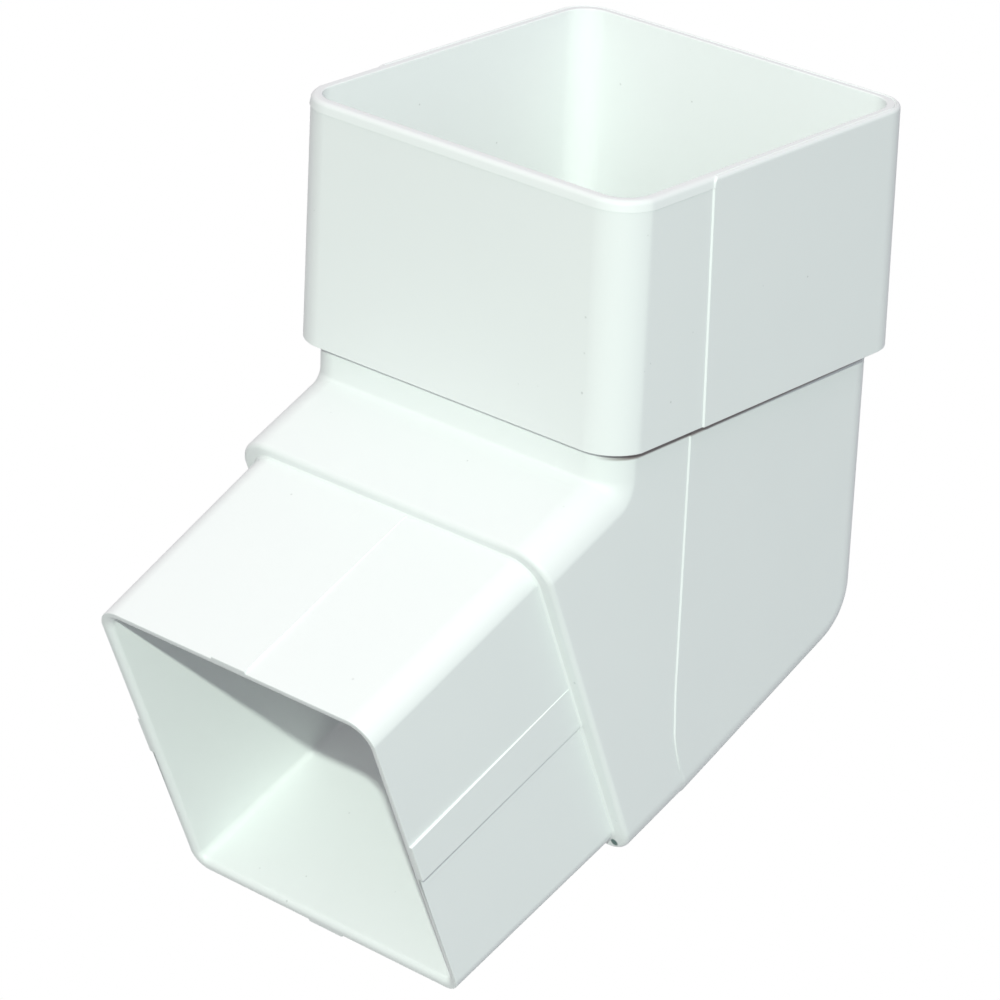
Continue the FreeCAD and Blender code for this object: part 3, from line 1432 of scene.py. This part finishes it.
@dataclass(frozen=True)
class RoomLight:
    """Soft light of the room, as the colours and levels that reach the part from five sides and from below.

    Attributes:
        left: Light from -X.
        right: Light from +X.
        front: Light from -Y.
        rear: Light from +Y.
        above: Light from over the part.
        below: Light from under the horizon, the same from all sides.
        horizon: Half height of the soft change at the horizon, as the sine of its angle.
    """

    left: tuple[float, float, float] = (0.72, 0.73, 0.74)
    right: tuple[float, float, float] = (0.535, 0.58, 0.675)
    front: tuple[float, float, float] = (0.42, 0.395, 0.415)
    rear: tuple[float, float, float] = (0.52, 0.56, 0.546)
    above: tuple[float, float, float] = (0.74, 0.605, 0.68)
    below: tuple[float, float, float] = (0.15, 0.17, 0.175)
    horizon: float = 0.12

    def build(self, tree: bpy.types.NodeTree) -> bpy.types.NodeSocket:
        """Colour of the light by the direction that it comes from.

        Args:
            tree: Node tree of the world.

        Returns:
            The socket with the colour.
        """
        ray = tree.nodes.new("ShaderNodeTexCoord").outputs["Generated"]
        split = tree.nodes.new("ShaderNodeSeparateXYZ")
        tree.links.new(ray, split.inputs[0])
        pairs = ((self.left, self.right), (self.front, self.rear), (self.above, self.above))
        total = None
        for lean, (low, high) in zip(split.outputs, pairs):
            total = self._add_pair(tree, lean, low, high, total)
        under = tree.nodes.new("ShaderNodeMapRange")
        under.inputs["From Min"].default_value = self.horizon
        under.inputs["From Max"].default_value = -self.horizon
        tree.links.new(split.outputs["Z"], under.inputs["Value"])
        return blend_colours(tree, under.outputs["Result"], total, self.below)

    @staticmethod
    def _add_pair(
        tree: bpy.types.NodeTree,
        lean: bpy.types.NodeSocket,
        low: tuple[float, float, float],
        high: tuple[float, float, float],
        total: bpy.types.NodeSocket | None,
    ) -> bpy.types.NodeSocket:
        """Adds the light of two facing sides.

        Args:
            tree: Node tree of the world.
            lean: How far the direction leans to the second side, from -1 to 1.
            low: Light of the first side.
            high: Light of the second side.
            total: Light of the sides before these, if any.

        Returns:
            The socket with the new total.
        """
        facing = tree.nodes.new("ShaderNodeMath")
        facing.operation = "GREATER_THAN"
        facing.inputs[1].default_value = 0.0
        tree.links.new(lean, facing.inputs[0])
        square = tree.nodes.new("ShaderNodeMath")
        square.operation = "MULTIPLY"
        tree.links.new(lean, square.inputs[0])
        tree.links.new(lean, square.inputs[1])
        gain = tree.nodes.new("ShaderNodeVectorMath")
        gain.operation = "MULTIPLY_ADD"
        tree.links.new(blend_colours(tree, facing.outputs[0], low, high), gain.inputs[0])
        tree.links.new(square.outputs[0], gain.inputs[1])
        if total is not None:
            tree.links.new(total, gain.inputs[2])
        return gain.outputs["Vector"]


@dataclass(frozen=True)
class Studio:
    """Camera, lamp, background and floor.

    Attributes:
        aim: Point that the camera looks at, in millimetres.
        azimuth: Camera's angle round the part from -Y towards +X, in degrees.
        elevation: Camera's angle above the horizon, in degrees.
        roll: Camera's turn about its own axis, in degrees.
        distance: Camera's distance from its aim, in millimetres.
        lens: Focal length, in millimetres on a sensor of the given width.
        sensor: Sensor width, in millimetres.
        key: Small main lamp just above the camera, which gives the shadows under the edges.
        room: Soft light of the room.
        floor_height: Height of the floor, in metres.
        floor_radius: Radius of the floor, in metres.
    """

    aim: tuple[float, float, float] = (-10.66, -9.31, -31.38)
    azimuth: float = 41.132
    elevation: float = 24.387
    roll: float = 2.210
    distance: float = 731.18
    lens: float = 160.64
    sensor: float = 36.0
    key: Lamp = Lamp(
        "key_lamp",
        azimuth=38.88,
        elevation=28.97,
        distance=0.591,
        size=0.0105,
        level=0.78,
        colour=(0.9, 1.0, 0.9),
    )
    room: RoomLight = RoomLight()
    floor_height: float = -1.1
    floor_radius: float = 0.8

    def build(self) -> None:
        """Makes the camera, the lamp, the background and the floor."""
        self._camera()
        self.key.build(Vector(self.aim) * MM)
        self._background()
        self._floor()
        bpy.context.scene.view_settings.view_transform = "Standard"

    def _camera(self) -> None:
        """Camera at the viewing angle of the photograph."""
        back = towards(self.azimuth, self.elevation)
        right = Vector((0.0, 0.0, 1.0)).cross(back).normalized()
        turned = Matrix.Rotation(math.radians(self.roll), 3, back)
        right = turned @ right
        up = back.cross(right)
        data = bpy.data.cameras.new("studio_camera")
        data.lens = self.lens
        data.sensor_width = self.sensor
        camera = bpy.data.objects.new("studio_camera", data)
        bpy.context.scene.collection.objects.link(camera)
        place = (Vector(self.aim) + back * self.distance) * MM
        axes = Matrix((right, up, back)).transposed().to_4x4()
        camera.matrix_world = Matrix.Translation(place) @ axes
        bpy.context.scene.camera = camera
        LOG.info("studio_camera: lens %.1f mm", data.lens)

    def _background(self) -> None:
        """White room for the eye, and a soft dimmer light from it on the part."""
        world = bpy.data.worlds.new("studio_room")
        world.use_nodes = True
        tree = world.node_tree
        tree.nodes.clear()
        light = tree.nodes.new("ShaderNodeBackground")
        tree.links.new(self.room.build(tree), light.inputs["Color"])
        white = tree.nodes.new("ShaderNodeBackground")
        white.inputs["Color"].default_value = (1.0, 1.0, 1.0, 1.0)
        blend = tree.nodes.new("ShaderNodeMixShader")
        output = tree.nodes.new("ShaderNodeOutputWorld")
        tree.links.new(seen_by_eye(tree), blend.inputs["Fac"])
        tree.links.new(light.outputs[0], blend.inputs[1])
        tree.links.new(white.outputs[0], blend.inputs[2])
        tree.links.new(blend.outputs[0], output.inputs["Surface"])
        bpy.context.scene.world = world

    def _floor(self) -> None:
        """Round pale floor far below the part, which its pipe would hold up."""
        rim = []
        for step in range(FLOOR_SIDES):
            angle = 2 * math.pi * step / FLOOR_SIDES
            x = math.cos(angle) * self.floor_radius
            y = math.sin(angle) * self.floor_radius
            rim.append((x, y, self.floor_height))
        mesh = bpy.data.meshes.new("studio_floor")
        mesh.from_pydata(rim, [], [tuple(range(FLOOR_SIDES))])
        mesh.materials.append(PaleFloor().material())
        floor = bpy.data.objects.new("studio_floor", mesh)
        bpy.context.scene.collection.objects.link(floor)
        LOG.info("studio_floor: radius %.2f m", self.floor_radius)


def mounts_by_name(record: dict) -> dict[str, dict]:
    """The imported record's mounts, by their names."""
    return {mount["name"]: mount for mount in record["mounts"]}


def main() -> None:
    """Builds the studio and the elbow."""
    logging.basicConfig(level=logging.INFO, format="%(name)s %(message)s")
    mounts = mounts_by_name(frame["record"])
    leg = Leg.from_mount(mounts["spigot"])
    socket = Socket(depth=mounts["pipe_socket"]["dims"]["length_mm"])
    body = Body(leg=leg, top=-socket.floor)
    spigot = Spigot(leg=leg, length=mounts["spigot"]["dims"]["length_mm"])
    Studio().build()
    # The finish carries painted shade under the socket's foot and a painted shadow at the shoulder's lower
    # corner.
    finish = WhitePvc(PaintedShade(leg))
    ElbowMoulding(socket, body, spigot, finish).build()


if __name__ == "__main__":
    main()
